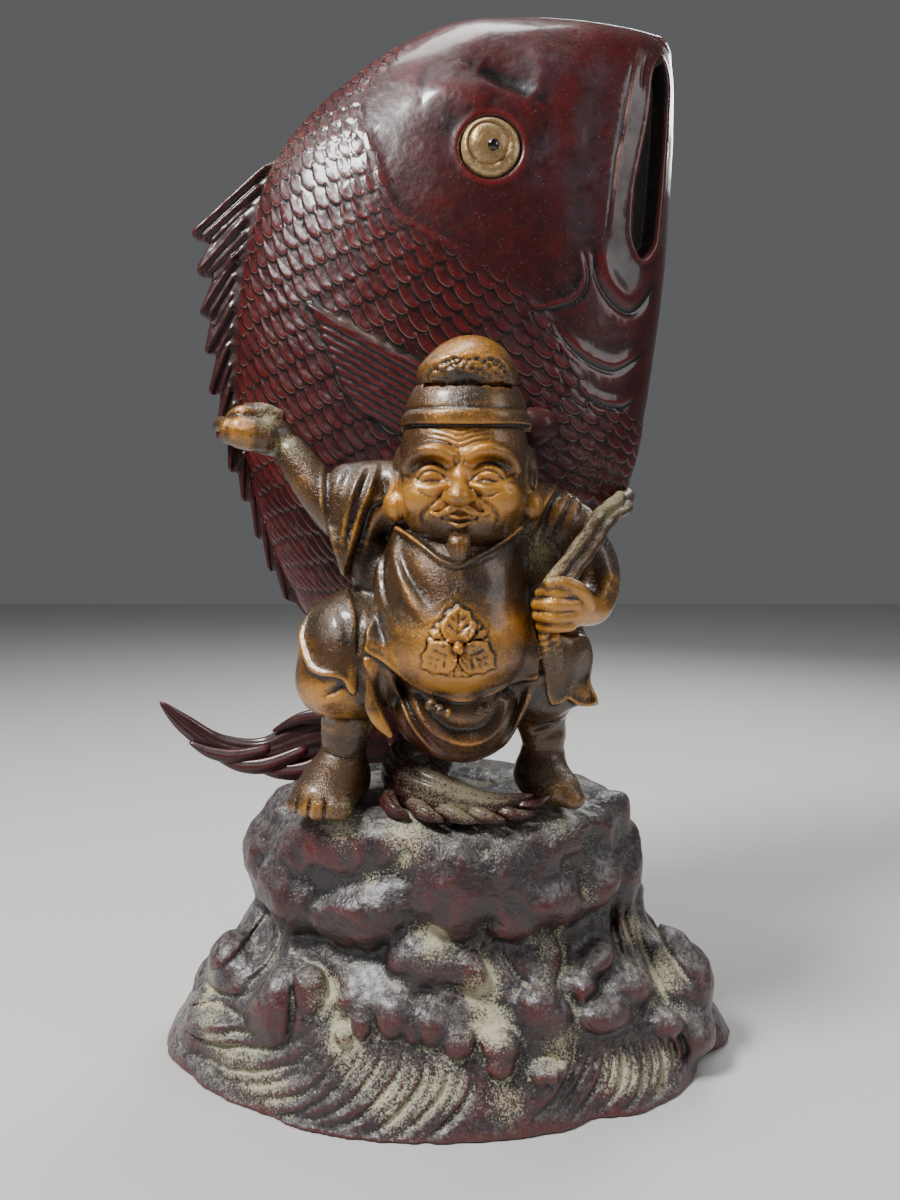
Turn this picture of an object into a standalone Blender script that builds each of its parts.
"""Ebisu with a great sea bream on his back, standing on a wave-washed rock: a cast, lacquered statue.

Five castings make the work: the rock, the bream, the figure and the bream's two inlaid eyes.
The origin is the middle of the rock's underside, +Z is up and the figure looks along -Y.
The free forms are laid out in design millimetres, read at the heights named below, and scaled by
one factor each about the spot on the rock where they stand.
"""

import math

import bmesh
import bpy
import numpy as np
from mathutils import Euler, Matrix, Vector

MM = 0.001

# Driving dimensions, in metres
ROCK_WIDTH = 0.264
ROCK_DEPTH = 0.172
ROCK_HEIGHT = 0.119
FIGURE_HEIGHT = 0.195
BREAM_HEIGHT = 0.356
BREAM_THICKNESS = 0.080
EYE_DIAMETER = 0.026
EYE_STAND = 0.0045
EYE_DEPTH = 0.006
PUPIL_DIAMETER = 0.0042
DORSAL_FIN_THICKNESS = 0.007
ROPE_DIAMETER = 0.0062
APRON_THICKNESS = 0.0036
CREST_RADIUS = 0.0086
SEAT_GAP = 0.0003

# The rock, the figure and the bream were laid out 264, 195 and 356 design millimetres large.
# Each free form stands on a spot of the rock's top, which moves with the rock's sizes.
WIDTH_SCALE = ROCK_WIDTH / 0.264
DEPTH_SCALE = ROCK_DEPTH / 0.172
FIGURE_SCALE = FIGURE_HEIGHT / 0.195
BREAM_SCALE = BREAM_HEIGHT / 0.356
FIGURE_STAND = np.array((5.0, -38.0, 119.0))
BREAM_STAND = np.array((-12.0, 20.0, 119.0))

# Mesh fineness
ROCK_AROUND = 56
ROCK_RINGS = 18
BREAM_RINGS = 25
BREAM_AROUND = 20
EYE_FACETS = 16
CLAY_VOXEL = 1.7 * MM * FIGURE_SCALE
CLAY_KEEP = 0.053

LACQUER_RED = (0.085, 0.012, 0.010)
BRONZE_BROWN = (0.30, 0.135, 0.030)
ROCK_GREY = (0.055, 0.040, 0.042)
EYE_BRASS = (0.42, 0.31, 0.13)


def placed(points, stand, factor):
    """Design millimetres to metres: scaled about the stand, whose height follows the rock's top."""
    points = np.asarray(points, float)
    foot = np.array((stand[0] * WIDTH_SCALE, stand[1] * DEPTH_SCALE, ROCK_HEIGHT / MM))
    return (foot + (points - stand) * factor) * MM


def spline(knots, count):
    """Count rows read evenly along a Catmull-Rom curve through the knots."""
    knots = np.asarray(knots, float)
    ends = np.vstack([2 * knots[0] - knots[1], knots, 2 * knots[-1] - knots[-2]])
    place = np.linspace(0, len(knots) - 1, count)
    span = np.minimum(place.astype(int), len(knots) - 2)
    t = (place - span)[:, None]
    a, b, c, d = (ends[span + shift] for shift in range(4))
    return 0.5 * (2 * b + (c - a) * t + (2 * a - 5 * b + 4 * c - d) * t**2 + (3 * b - a - 3 * c + d) * t**3)


def clear_scene():
    for obj in list(bpy.data.objects):
        bpy.data.objects.remove(obj)


def material(name, colour, roughness, metallic):
    made = bpy.data.materials.new(name)
    made.use_nodes = True
    shader = made.node_tree.nodes["Principled BSDF"]
    shader.inputs["Base Color"].default_value = (*colour, 1)
    shader.inputs["Roughness"].default_value = roughness
    shader.inputs["Metallic"].default_value = metallic
    return made


def collection(name):
    made = bpy.data.collections.new(name)
    bpy.context.scene.collection.children.link(made)
    return made


def new_object(name, bm, group, paint=None):
    """A mesh object from a bmesh, its faces pointing out."""
    bmesh.ops.recalc_face_normals(bm, faces=bm.faces)
    mesh = bpy.data.meshes.new(name)
    bm.to_mesh(mesh)
    bm.free()
    obj = bpy.data.objects.new(name, mesh)
    group.objects.link(obj)
    if paint:
        mesh.materials.append(paint)
    else:
        obj.hide_render = True
        obj.display_type = "WIRE"
    return obj


def add_rings(bm, rings):
    """A skin over rings of points, each closed by a fan at its far end."""
    rows = [[bm.verts.new(point) for point in ring] for ring in rings]
    around = len(rows[0])
    for low, high in zip(rows, rows[1:]):
        for i in range(around):
            j = (i + 1) % around
            bm.faces.new((low[i], low[j], high[j], high[i]))
    for row in (rows[0], rows[-1]):
        middle = bm.verts.new(np.mean([v.co for v in row], axis=0))
        for i in range(around):
            bm.faces.new((row[i], row[(i + 1) % around], middle))


def add_limb(bm, knots, halves, stand, factor, rings=14, sides=14, up=(0, 0, 1)):
    """A rounded bar along a smooth path: halves gives each knot's half width across and along up."""
    knots = np.asarray(knots, float)
    rows = spline(np.hstack([knots, np.asarray(halves, float)]), rings)
    path = rows[:, :3]
    half = np.maximum(rows[:, 3:], 0.3)
    along = np.gradient(path, axis=0)
    along /= np.linalg.norm(along, axis=1)[:, None]
    side = np.cross(along, np.asarray(up, float))
    side /= np.linalg.norm(side, axis=1)[:, None]
    rise = np.cross(side, along)
    turn = np.linspace(0, 2 * math.pi, sides, endpoint=False)
    rounding = (0.94, 0.7, 0.3)
    order = [(0, share, -1) for share in reversed(rounding)]
    order += [(i, 1.0, 0) for i in range(rings)]
    order += [(rings - 1, share, 1) for share in rounding]
    skin = []
    for i, share, end in order:
        middle = path[i] + along[i] * end * half[i].min() * math.sqrt(1 - share**2)
        across = np.outer(np.cos(turn), side[i] * half[i, 0] * share)
        above = np.outer(np.sin(turn), rise[i] * half[i, 1] * share)
        skin.append(placed(middle + across + above, stand, factor))
    add_rings(bm, skin)


def add_ball(bm, centre, radii, stand, factor, turn=(0, 0, 0), around=18):
    """An ellipsoid, turned by degrees about X, Y and Z."""
    tilt = Euler([math.radians(a) for a in turn]).to_matrix().to_4x4()
    size = Matrix.Diagonal([r * MM * factor for r in radii] + [1])
    spot = Matrix.Translation(placed(centre, stand, factor))
    whole = spot @ tilt @ size
    bmesh.ops.create_uvsphere(bm, u_segments=around, v_segments=around * 2 // 3, radius=1, matrix=whole)


def boolean(obj, tool, operation):
    step = obj.modifiers.new(f"{operation.lower()} {tool.name}", "BOOLEAN")
    step.operation = operation
    step.object = tool
    step.solver = "EXACT"


def settled_mesh(obj):
    """The mesh that the object's modifiers leave."""
    graph = bpy.context.evaluated_depsgraph_get()
    return bpy.data.meshes.new_from_object(obj.evaluated_get(graph))


def swollen(obj, gap, group):
    """A copy of the finished object, grown by the gap on every face, for cutting seats."""
    bm = bmesh.new()
    bm.from_mesh(settled_mesh(obj))
    bmesh.ops.triangulate(bm, faces=bm.faces)
    bm.normal_update()
    grown = [v.co + v.normal * gap * min(v.calc_shell_factor(), 2.0) for v in bm.verts]
    for vert, spot in zip(bm.verts, grown):
        vert.co = spot
    return new_object(f"{obj.name} seat cutter", bm, group)


# The rock: oval levels from the wave's rim to the platform, as shares of height, width and depth
ROCK_LEVELS = (
    (0.000, 1.000, 1.000),
    (0.040, 1.000, 1.000),
    (0.130, 0.955, 0.960),
    (0.280, 0.880, 0.890),
    (0.430, 0.755, 0.790),
    (0.560, 0.665, 0.715),
    (0.700, 0.660, 0.735),
    (0.820, 0.655, 0.745),
    (0.910, 0.615, 0.705),
    (0.970, 0.535, 0.610),
    (0.995, 0.400, 0.450),
    (1.000, 0.200, 0.220),
)
# Boulders and hollows: degrees round from +X, height share, reach in degrees and share, metres proud at full size
BOULDERS = (
    (-136, 0.72, 19, 0.13, 0.0130),
    (-110, 0.66, 9, 0.08, 0.0060),
    (-99, 0.84, 7, 0.12, -0.0060),
    (-78, 0.74, 15, 0.09, 0.0100),
    (-52, 0.76, 11, 0.11, 0.0085),
    (-28, 0.72, 12, 0.13, 0.0090),
    (-97, 0.47, 12, 0.07, 0.0110),
    (-132, 0.36, 10, 0.10, 0.0140),
    (-52, 0.38, 10, 0.10, 0.0130),
    (-18, 0.34, 12, 0.13, 0.0120),
    (-76, 0.24, 6, 0.06, 0.0080),
    (-63, 0.17, 6, 0.06, 0.0080),
    (-165, 0.45, 13, 0.15, 0.0100),
    (25, 0.70, 18, 0.17, 0.0120),
    (60, 0.42, 17, 0.13, 0.0110),
    (85, 0.78, 16, 0.13, 0.0110),
    (125, 0.70, 18, 0.15, 0.0120),
    (155, 0.35, 14, 0.12, 0.0110),
)
PEBBLE_COUNT = 5
PEBBLE_FIRST, PEBBLE_LAST = -121, -92
WAVE_RIPPLES = 23


def rock_point(angle, height, width_share, depth_share):
    """A point of the rock's skin: the oval level, its boulders and the wave's ripples."""
    degrees = math.degrees(angle)
    proud = 0.0
    for round_at, high_at, reach, tall, amount in BOULDERS:
        off = (degrees - round_at + 180) % 360 - 180
        proud += amount * math.exp(-((off / reach) ** 2) - ((height - high_at) / tall) ** 2)
    for pebble in np.linspace(PEBBLE_FIRST, PEBBLE_LAST, PEBBLE_COUNT):
        proud += 0.0075 * math.exp(-(((degrees - pebble) / 3.4) ** 2) - ((height - 0.27) / 0.07) ** 2)
    wave = math.exp(-(((height - 0.14) / 0.11) ** 2))
    proud += 0.0022 * wave * math.sin(WAVE_RIPPLES * angle + 9 * height)
    rim = 0.0025 * math.sin(3 * angle + 0.6) * (1 - height)
    reach = (proud + rim) * DEPTH_SCALE
    flat = min(1.0, width_share / 0.5)
    x = (ROCK_WIDTH / 2 * width_share + reach * flat) * math.cos(angle)
    y = (ROCK_DEPTH / 2 * depth_share + reach * flat) * math.sin(angle)
    return x, y, height * ROCK_HEIGHT


def build_rock(group, paint):
    levels = spline(ROCK_LEVELS, ROCK_RINGS)
    angles = np.linspace(0, 2 * math.pi, ROCK_AROUND, endpoint=False)
    rings = [[rock_point(a, *level) for a in angles] for level in np.maximum(levels, 0)]
    bm = bmesh.new()
    add_rings(bm, rings)
    return new_object("rock_base", bm, group, paint)


# The bream's side view: back line, belly line (x, z), half thickness share and middle y, snout to tail
BREAM_STATIONS = (
    (96.5, 465.5, 105.5, 455.5, 0.20, 20),
    (72.8, 469.6, 107.2, 434.1, 0.50, 21),
    (39.9, 473.6, 106.8, 397.4, 0.72, 22),
    (-2.3, 470.0, 104.5, 360.2, 0.88, 22),
    (-44.7, 446.4, 100.7, 324.9, 0.95, 22),
    (-79.5, 410.2, 96.4, 294.1, 1.00, 22),
    (-95.8, 359.2, 90.5, 265.4, 1.00, 22),
    (-99.4, 308.4, 77.7, 234.0, 0.95, 22),
    (-94.7, 265.4, 56.1, 202.4, 0.85, 22),
    (-80.8, 221.9, 31.8, 168.0, 0.70, 21),
    (-55.4, 177.8, 9.3, 138.2, 0.50, 18),
    (-32.0, 143.2, 2.5, 121.2, 0.36, 14),
    (-25.0, 131.0, 0.5, 118.0, 0.30, 8),
)


def bream_rings():
    """Oval sections between the back line and the belly line, pinched a little towards both."""
    rows = spline(BREAM_STATIONS, BREAM_RINGS)
    turn = np.linspace(0, 2 * math.pi, BREAM_AROUND, endpoint=False)
    rings = []
    for back_x, back_z, belly_x, belly_z, share, middle in rows:
        half = BREAM_THICKNESS / 2 / MM / BREAM_SCALE * share
        lift = (1 + np.cos(turn)) / 2
        x = belly_x + (back_x - belly_x) * lift
        z = belly_z + (back_z - belly_z) * lift
        bulge = np.sign(np.sin(turn)) * np.abs(np.sin(turn)) ** 1.12
        y = middle - half * bulge
        rings.append(placed(np.column_stack([x, y, z]), BREAM_STAND, BREAM_SCALE))
    return rings


BREAM_MIDDLE_Y = BREAM_STATIONS[5][5]

# Dorsal fin: each run of spines goes from its first tip to its last (x, z), with a step back after each
FIN_ROOT_TOP = (-80.0, 411.0)
FIN_ROOT_LOW = (-72.0, 199.0)
FIN_RUNS = (
    ((-119.9, 375.5), (-112.1, 301.0), 5, (8.0, -2.0)),
    ((-104.0, 265.4), (-77.0, 203.0), 5, (5.0, -1.0)),
)
FIN_INNER = ((-60.0, 215.0), (-78.0, 300.0), (-72.0, 380.0))


def fin_outline():
    points = [FIN_ROOT_TOP]
    for first, last, count, step in FIN_RUNS:
        for tip in np.linspace(first, last, count):
            points += [tuple(tip), tuple(tip + step)]
    return points + [FIN_ROOT_LOW, *FIN_INNER]


def add_plate(bm, outline, y, thickness, stand, factor):
    """A flat outline in X and Z, extruded to its thickness about y."""
    low = placed([(x, y, z) for x, z in outline], stand, factor)
    low[:, 1] -= thickness / 2
    face = bm.faces.new([bm.verts.new(point) for point in low])
    raised = bmesh.ops.extrude_face_region(bm, geom=[face])["geom"]
    for vert in (v for v in raised if isinstance(v, bmesh.types.BMVert)):
        vert.co.y += thickness


TAIL_BACK_PATH = ((-14, 18, 136), (-45, 20, 138), (-66, 19, 133.5), (-88, 18, 127.5), (-110, 18, 131), (-127, 18, 142), (-139, 18, 153))
TAIL_BACK_HALVES = ((7, 13), (6.5, 18), (6, 16), (5, 10), (4, 7), (3, 4.5), (1.5, 1.8))
TAIL_FRONT_PATH = ((-12, 12, 128), (-21, -14, 129), (-17, -38, 128), (0, -50, 125), (20, -53, 123), (37, -52, 126.5))
TAIL_FRONT_HALVES = ((9, 10), (7, 11), (7, 11), (7, 9), (6, 5), (1.6, 1.8))
TAIL_CLAWS = ((-14, -52, 121), (1, -56.5, 120.5), (16, -57, 120.5))
PECTORAL_FIN = (((2, -17, 292), (-28, -19, 312), (-56, -16.5, 334)), ((4, 13), (3, 12), (1.5, 1.5)))
PELVIC_FIN = (((24, -12, 275), (33, -16, 279), (42, -17, 281), (49.5, -13, 279)), ((5, 6), (6, 8.5), (6, 8.5), (3, 4)))
GILL_PLATE = ((-6, -17, 352), (12, -18, 336), (38, -17, 334), (52, -13, 345), (53, -10, 362))
MAXILLA = ((78, 4, 446), (75, -3, 400), (78, -4, 366), (86, 0, 346), (96, 6, 356))
ROPE_BACK = ((-101, -2, 281), (-104, 22, 281), (-84, 50, 280), (-40, 64, 276), (20, 65, 270), (66, 50, 262), (87, 24, 254), (79, -12, 249))
MOUTH_SLOT = ((103.5, 9, 460), (101, 3, 436), (98, -1, 405), (94, 0, 377))
EYE_SPOT = (20.0, 401.5)
EYE_TILT = 8


def add_bream_limb(bm, path, halves, **shape):
    add_limb(bm, path, halves, BREAM_STAND, BREAM_SCALE, **shape)


def side_of_bream(x, z, side):
    """The y, in design millimetres, of the bream's flank at x and z, on its near or far side."""
    rings = np.array(bream_rings()).reshape(-1, 3)
    spot = placed((x, BREAM_MIDDLE_Y, z), BREAM_STAND, BREAM_SCALE)
    flank = rings[(rings[:, 1] - spot[1]) * side > 0]
    near = flank[np.argsort(np.hypot(flank[:, 0] - spot[0], flank[:, 2] - spot[2]))[:4]]
    return near[:, 1].mean()


def eye_frame(side):
    """The eye's place on one flank, its Z axis pointing out of the head."""
    spot = placed((EYE_SPOT[0], 0, EYE_SPOT[1]), BREAM_STAND, BREAM_SCALE)
    spot[1] = side_of_bream(*EYE_SPOT, side)
    outward = Euler((math.radians(90 if side < 0 else -90), 0, 0)).to_matrix()
    lean = Matrix.Rotation(math.radians(EYE_TILT * side), 3, "Z")
    return Matrix.Translation(spot) @ (lean @ outward).to_4x4()


def turned(bm, profile, frame, steps=EYE_FACETS):
    """A profile of (radius, height) pairs turned about the frame's Z axis."""
    turn = np.linspace(0, 2 * math.pi, steps, endpoint=False)
    rings = [[frame @ Vector((r * math.cos(a), r * math.sin(a), h)) for a in turn] for r, h in profile]
    add_rings(bm, rings)


def eye_profile():
    """A domed brass disc with a raised rim and a round pupil."""
    radius, pupil = EYE_DIAMETER / 2, PUPIL_DIAMETER / 2
    return (
        (radius, -EYE_DEPTH),
        (radius, EYE_STAND * 0.35),
        (radius * 0.80, EYE_STAND * 0.72),
        (pupil, EYE_STAND),
        (pupil * 0.8, EYE_STAND * 1.12),
    )


def socket_profile():
    radius = EYE_DIAMETER / 2 + SEAT_GAP
    lip = EYE_DIAMETER * 0.08
    return (
        (radius, -EYE_DEPTH - SEAT_GAP),
        (radius, -EYE_DEPTH * 0.25),
        (radius + lip, EYE_DEPTH * 0.2),
        (radius + lip * 2, EYE_DEPTH * 2),
    )


def build_bream(group, cutters, paint):
    bm = bmesh.new()
    add_rings(bm, bream_rings())
    bream = new_object("sea_bream", bm, group, paint)
    rope = ROPE_DIAMETER / 2 / MM / BREAM_SCALE
    additions = {
        "tail behind": (TAIL_BACK_PATH, TAIL_BACK_HALVES, {"rings": 11, "sides": 10}),
        "tail in front": (TAIL_FRONT_PATH, TAIL_FRONT_HALVES, {"rings": 10, "sides": 10}),
        "pectoral fin": (*PECTORAL_FIN, {"rings": 6, "sides": 8, "up": (0.55, 0, 0.84)}),
        "pelvic fin": (*PELVIC_FIN, {"rings": 5, "sides": 6, "up": (0, 0, 1)}),
        "gill plate": (GILL_PLATE, [(2.2, 2.2)] * len(GILL_PLATE), {"rings": 6, "sides": 5, "up": (0, 1, 0)}),
        "maxilla": (MAXILLA, [(3.4, 3.4)] * len(MAXILLA), {"rings": 7, "sides": 5, "up": (0, 1, 0)}),
        "rope round the back": (ROPE_BACK, [(rope, rope)] * len(ROPE_BACK), {"rings": 14, "sides": 6}),
    }
    for name, (path, halves, shape) in additions.items():
        bm = bmesh.new()
        add_bream_limb(bm, path, halves, **shape)
        boolean(bream, new_object(name, bm, cutters), "UNION")
    for number, spot in enumerate(TAIL_CLAWS):
        bm = bmesh.new()
        add_ball(bm, spot, (7, 4.5, 5), BREAM_STAND, BREAM_SCALE, (0, -25, 0), around=9)
        boolean(bream, new_object(f"tail lobe {number}", bm, cutters), "UNION")
    bm = bmesh.new()
    add_plate(bm, fin_outline(), BREAM_MIDDLE_Y, DORSAL_FIN_THICKNESS, BREAM_STAND, BREAM_SCALE)
    boolean(bream, new_object("dorsal fin", bm, cutters), "UNION")
    bm = bmesh.new()
    add_bream_limb(bm, MOUTH_SLOT, ((3.0, 3.0), (3.4, 3.4), (3.6, 3.6), (3.2, 3.2)), rings=6, sides=6)
    boolean(bream, new_object("mouth slot", bm, cutters), "DIFFERENCE")
    for side, name in ((-1, "near socket"), (1, "far socket")):
        bm = bmesh.new()
        turned(bm, socket_profile(), eye_frame(side))
        boolean(bream, new_object(name, bm, cutters), "DIFFERENCE")
    return bream


def build_eyes(group, paint):
    for side, name in ((-1, "fish_eye_near"), (1, "fish_eye_far")):
        bm = bmesh.new()
        turned(bm, eye_profile(), eye_frame(side))
        new_object(name, bm, group, paint)


# The figure: limbs as (path, half widths) and balls as (centre, radii, turn), all in design millimetres
FIGURE_LIMBS = (
    # Sleeve and bare forearm of the raised arm, its hand and the rope in it
    (((-8, -34, 246), (-28, -36, 246), (-40, -38, 240)), ((14, 13), (13, 15), (9, 18))),
    (((-36, -38, 240), (-40, -41, 228), (-41, -43, 219)), ((10, 10), (6.5, 6), (2.5, 2.5))),
    (((-42, -38, 234), (-57, -34, 252), (-70, -30, 266)), ((8.5, 8.5), (7.2, 7.2), (6.2, 6.2))),
    (((-68, -28, 268), (-80, -27, 276), (-92, -24, 281)), ((9, 8), (10, 9), (7, 7))),
    (((-95, -31, 275), (-84, -34, 273), (-77, -33, 271)), ((4.4, 4.4), (4.6, 4.6), (4, 4))),
    (((-92, -22, 280), (-99, -14, 284), (-104, 2, 284)), ((4, 4), (3.6, 3.6), (3, 3))),
    # Sleeve and forearm of the lowered arm
    (((30, -32, 244), (50, -32, 236), (60, -36, 220), (61, -42, 210)), ((15, 15), (15, 16), (13, 14), (11, 11))),
    (((62, -42, 207), (58, -54, 204), (46, -62, 205)), ((11, 10), (10, 9.5), (9, 9.5))),
    # Standing calves
    (((-40, -38, 166), (-42, -38, 148), (-43, -36, 130)), ((13, 13), (11.5, 12), (10, 11))),
    (((40, -32, 166), (43, -31, 148), (42, -30, 132)), ((12, 12), (10.5, 11), (9.5, 10.5))),
    # Hem corner of the trousers, drawn out to a point
    (((44, -40, 178), (56, -44, 168), (65, -46, 163.5)), ((12, 10), (8, 5.5), (1.5, 1.5))),
    # Tucked hem folds falling round the skirt
    (((-29, -61, 190), (-28, -60, 168), (-19, -61, 150)), ((3.6, 4), (3.8, 4), (2.6, 2.6))),
    (((-22, -62, 172), (-8, -67, 152), (10, -65, 143)), ((3.4, 4), (3.4, 4), (2.6, 2.6))),
    (((34, -60, 174), (30, -62, 156), (23, -62, 146)), ((3.4, 4), (3.4, 4), (2.6, 2.6))),
    # Trouser hems gathered over the calves, and folds drawn up to the knees
    (((-62, -44, 180), (-54, -60, 170), (-40, -65, 162), (-27, -60, 163)), ((3, 5), (4, 7), (4, 6), (2, 3))),
    (((-60, -52, 192), (-50, -64, 184), (-36, -66, 180)), ((2.4, 2.4), (3, 3), (2, 2))),
    (((31, -60, 168), (43, -59, 166), (56, -52, 170)), ((2.5, 4), (4, 6), (2.5, 4))),
    (((38, -60, 186), (48, -58, 182), (58, -48, 178)), ((2.2, 2.2), (3, 3), (2, 2))),
    # Rim of the lowered sleeve, and the apron's rolled collar
    (((54, -56, 218), (64, -52, 210), (62, -54, 196), (50, -58, 193)), ((2.5, 2.5), (3.2, 3.2), (3.2, 3.2), (2.2, 2.2))),
    (((-22, -48, 236), (-14, -61, 229), (5, -68, 226), (26, -61, 229), (36, -48, 236)), ((2.6, 2.6),) * 5),
    # Shoulder folds of both sleeves
    (((-14, -48, 248), (-24, -50, 236), (-33, -48, 222)), ((2.6, 2.6), (2.8, 2.8), (1.6, 1.6))),
    (((44, -48, 250), (48, -50, 238), (50, -52, 226)), ((2.4, 2.4), (2.6, 2.6), (1.6, 1.6))),
    # Nose, moustache, beard and brows
    (((6, -72.5, 262), (5.5, -76.5, 252), (5.5, -77, 249)), ((3, 3), (4.6, 4.4), (5.4, 4.6))),
    (((5, -76.5, 243), (-2, -76, 243), (-8, -72.5, 239)), ((1.8, 1.6), (2.0, 1.8), (1.1, 1.1))),
    (((6, -76.5, 243), (13, -75.5, 243), (19, -71.5, 239)), ((1.8, 1.6), (2.0, 1.8), (1.1, 1.1))),
    (((5.5, -75, 235), (5.3, -77, 230), (5.2, -76.5, 226)), ((4.6, 3.4), (3.6, 3.2), (1.1, 1.2))),
    (((-16, -62, 262), (-9, -68, 268), (1, -71, 266)), ((2.4, 2.4), (3.2, 3.0), (2.4, 2.4))),
    (((12, -71, 266), (22, -67, 268), (29, -60, 262)), ((2.4, 2.4), (3.2, 3.0), (2.4, 2.4))),
)
FIGURE_BALLS = (
    # Trunk, shoulders, belly and skirt
    ((4, -38, 208), (30, 31, 36), (0, 0, 0)),
    ((2, -28, 200), (42, 20, 34), (0, 0, 0)),
    ((12, -32, 238), (36, 20, 17), (0, 0, 0)),
    ((4, -47, 190), (30, 28, 22), (0, 0, 0)),
    ((5, -43, 161), (30, 24.5, 22.5), (0, 0, 0)),
    # The robe's back, between each arm and the bream
    ((-29, -31, 216), (12, 15, 18), (0, 0, 0)),
    ((38, -30, 222), (12, 16, 18), (0, 0, 0)),
    # Thighs in wide trousers
    ((-37, -42, 180), (25, 25, 27), (0, 0, -8)),
    ((41, -38, 180), (21, 23, 27), (0, 0, 8)),
    # Feet and toes
    ((-51, -36, 126), (14.5, 19, 9.5), (0, 0, -22)),
    ((-46, -51, 122.5), (5, 5.5, 4.2), (0, 0, 0)),
    ((-54, -49, 122.5), (4.2, 5, 4), (0, 0, 0)),
    ((-60, -44.5, 122.5), (4, 4.6, 4), (0, 0, 0)),
    ((45, -34, 129), (13.5, 16, 9), (0, 0, 30)),
    ((50, -46, 125.5), (5, 5, 4), (0, 0, 0)),
    ((56, -41, 126), (4, 4.4, 4), (0, 0, 0)),
    # Fist of the lowered arm
    ((43, -63, 206), (10, 8, 11.5), (0, 0, 0)),
    # Head: skull, jaw, cheeks, chin, eyelids and nostrils
    ((9, -47, 256), (26.5, 24, 29), (0, 0, 0)),
    ((8, -52, 244), (25, 21, 19), (0, 0, 0)),
    ((-8, -64, 246), (9.5, 9, 9), (0, 0, 0)),
    ((20, -64, 246), (9.5, 9, 9), (0, 0, 0)),
    ((6, -66, 233), (10, 8, 7), (0, 0, 0)),
    ((-6, -66.5, 258), (7.5, 4.5, 5), (0, 0, 0)),
    ((18, -66.5, 258), (7.5, 4.5, 5), (0, 0, 0)),
    ((0.6, -75, 248), (3, 3.4, 2.8), (0, 0, 0)),
    ((10.4, -75, 248), (3, 3.4, 2.8), (0, 0, 0)),
    ((5.5, -74.5, 238.8), (4.6, 2.6, 1.6), (0, 0, 0)),
    # Long ears
    ((-19.5, -46, 258), (4.5, 6.5, 12), (0, 8, 0)),
    ((-21.5, -48, 247.5), (5, 5, 6), (0, 0, 0)),
    ((38.5, -44, 258), (4.5, 6.5, 12), (0, -8, 0)),
    ((40, -46, 247.5), (5, 5, 6), (0, 0, 0)),
    # Court cap: band, crown and the folded peak that hangs over it
    ((9, -47, 277.5), (28.8, 25.5, 5.2), (0, 0, 0)),
    ((9, -46, 280), (26, 23, 9), (0, 0, 0)),
    ((9.5, -48, 296), (20.8, 18, 11.5), (-6, 0, 0)),
    ((10.5, -46, 303), (14, 12.5, 10.8), (0, 0, 0)),
)
ROPE_STRANDS = (
    ((40, -66, 213), (60, -46, 231), (77, -22, 249)),
    ((44, -66, 208), (64, -48, 226), (80, -22, 245)),
)
ROPE_END = ((43, -60, 198), (45, -58, 188), (46, -56, 177))
CREST_CENTRE = (5.0, -80.5, 193.5)
CREST_LEAVES = 3


def apron_point(across, down):
    """The apron's outer face: across runs -1 to 1 round the belly, down runs 0 at the neck to 1 at the hem."""
    swing = math.radians(74) * across
    hem = 168.5 + 16 * across**2 - 4 * across
    neck = 229 + 4 * across**2
    swell = math.sin(math.pi * min(1.0, down * 0.92 + 0.02)) ** 0.8
    half_width = 23 + 6 * swell + 7 * down
    depth = 22 + 15 * swell + 5 * down
    x = 4 + half_width * math.sin(swing) / math.sin(math.radians(74))
    y = -(38 + depth * math.cos(swing) ** 0.9)
    fold = 1.3 * math.sin(9 * across + 2.2 * down) * max(0.0, -across - 0.1) * (1 - 0.4 * down)
    return x, y - fold, neck + (hem - neck) * down


def add_apron(bm, columns=26, rows=16):
    """The apron as a sheet of even thickness, closed round its edge."""
    outer, inner = [], []
    for across in np.linspace(-1, 1, columns):
        face = np.array([apron_point(across, down) for down in np.linspace(0, 1, rows)])
        centre = np.array((4, -30, 0)) * (1, 1, 0) + face * (0, 0, 1)
        inward = centre - face
        inward /= np.linalg.norm(inward, axis=1)[:, None]
        outer.append(face)
        inner.append(face + inward * APRON_THICKNESS / MM / FIGURE_SCALE)
    rings = [np.vstack([front, back[::-1]]) for front, back in zip(outer, inner)]
    add_rings(bm, [placed(ring, FIGURE_STAND, FIGURE_SCALE) for ring in rings])


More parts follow.
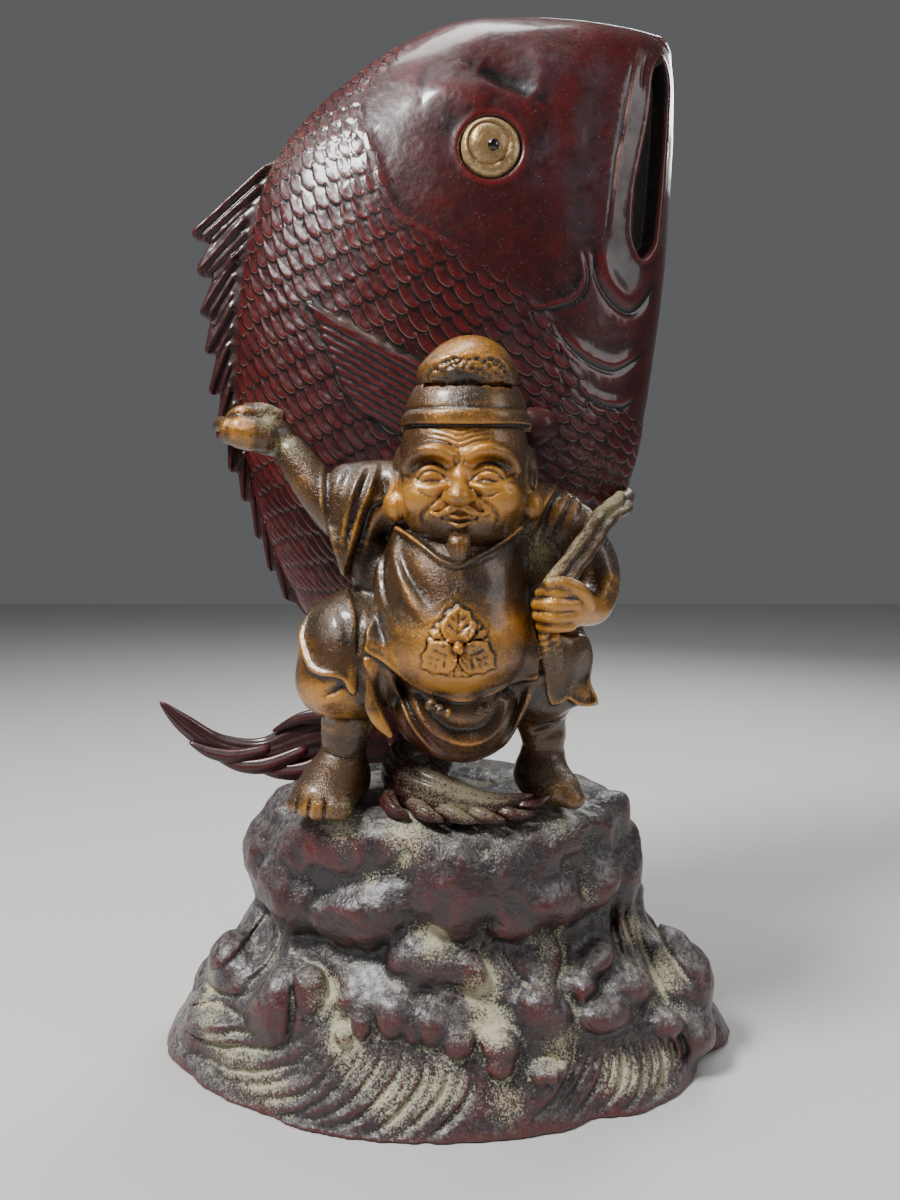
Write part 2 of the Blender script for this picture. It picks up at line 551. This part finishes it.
def add_crest(bm):
    """Three raised leaves round a boss, the shrine crest on the belly."""
    radius = CREST_RADIUS / MM / FIGURE_SCALE
    for leaf in range(CREST_LEAVES):
        angle = math.radians(90 + 360 / CREST_LEAVES * leaf)
        across, up = radius * math.cos(angle), radius * math.sin(angle)
        spot = np.array(CREST_CENTRE) + (across, abs(across) * 0.12, up)
        add_ball(bm, spot, (6.6, 2.2, 8.4), FIGURE_STAND, FIGURE_SCALE, (0, -math.degrees(angle) + 90, 0))
    add_ball(bm, CREST_CENTRE, (2.4, 2.8, 2.4), FIGURE_STAND, FIGURE_SCALE)


def build_figure(group, paint, seats):
    """The figure as one clay: its forms fused, smoothed, then cut back from the rock and the bream."""
    bm = bmesh.new()
    for path, halves in FIGURE_LIMBS:
        add_limb(bm, path, halves, FIGURE_STAND, FIGURE_SCALE)
    for centre, radii, turn in FIGURE_BALLS:
        add_ball(bm, centre, radii, FIGURE_STAND, FIGURE_SCALE, turn)
    add_apron(bm)
    add_crest(bm)
    rope = ROPE_DIAMETER / 2 / MM / FIGURE_SCALE
    for path in ROPE_STRANDS + (ROPE_END,):
        add_limb(bm, path, [(rope, rope)] * 3, FIGURE_STAND, FIGURE_SCALE)
    figure = new_object("ebisu", bm, group, paint)
    fuse = figure.modifiers.new("fuse the forms", "REMESH")
    fuse.mode = "VOXEL"
    fuse.voxel_size = CLAY_VOXEL
    soften = figure.modifiers.new("soften the joins", "SMOOTH")
    soften.factor = 0.5
    soften.iterations = 3
    facets = figure.modifiers.new("facets", "DECIMATE")
    facets.ratio = CLAY_KEEP
    for seat in seats:
        boolean(figure, seat, "DIFFERENCE")
    return figure


def main():
    clear_scene()
    statue = collection("Ebisu statue")
    cutters = collection("cutters")
    red = material("red lacquer", LACQUER_RED, 0.22, 0.0)
    brown = material("brown bronze", BRONZE_BROWN, 0.35, 0.6)
    grey = material("dusty rock lacquer", ROCK_GREY, 0.5, 0.0)
    brass = material("eye brass", EYE_BRASS, 0.35, 0.8)
    rock = build_rock(statue, grey)
    bream = build_bream(statue, cutters, red)
    build_eyes(statue, brass)
    rock_seat = swollen(rock, SEAT_GAP, cutters)
    boolean(bream, rock_seat, "DIFFERENCE")
    bream_seat = swollen(bream, SEAT_GAP, cutters)
    build_figure(statue, brown, (rock_seat, bream_seat))


main()
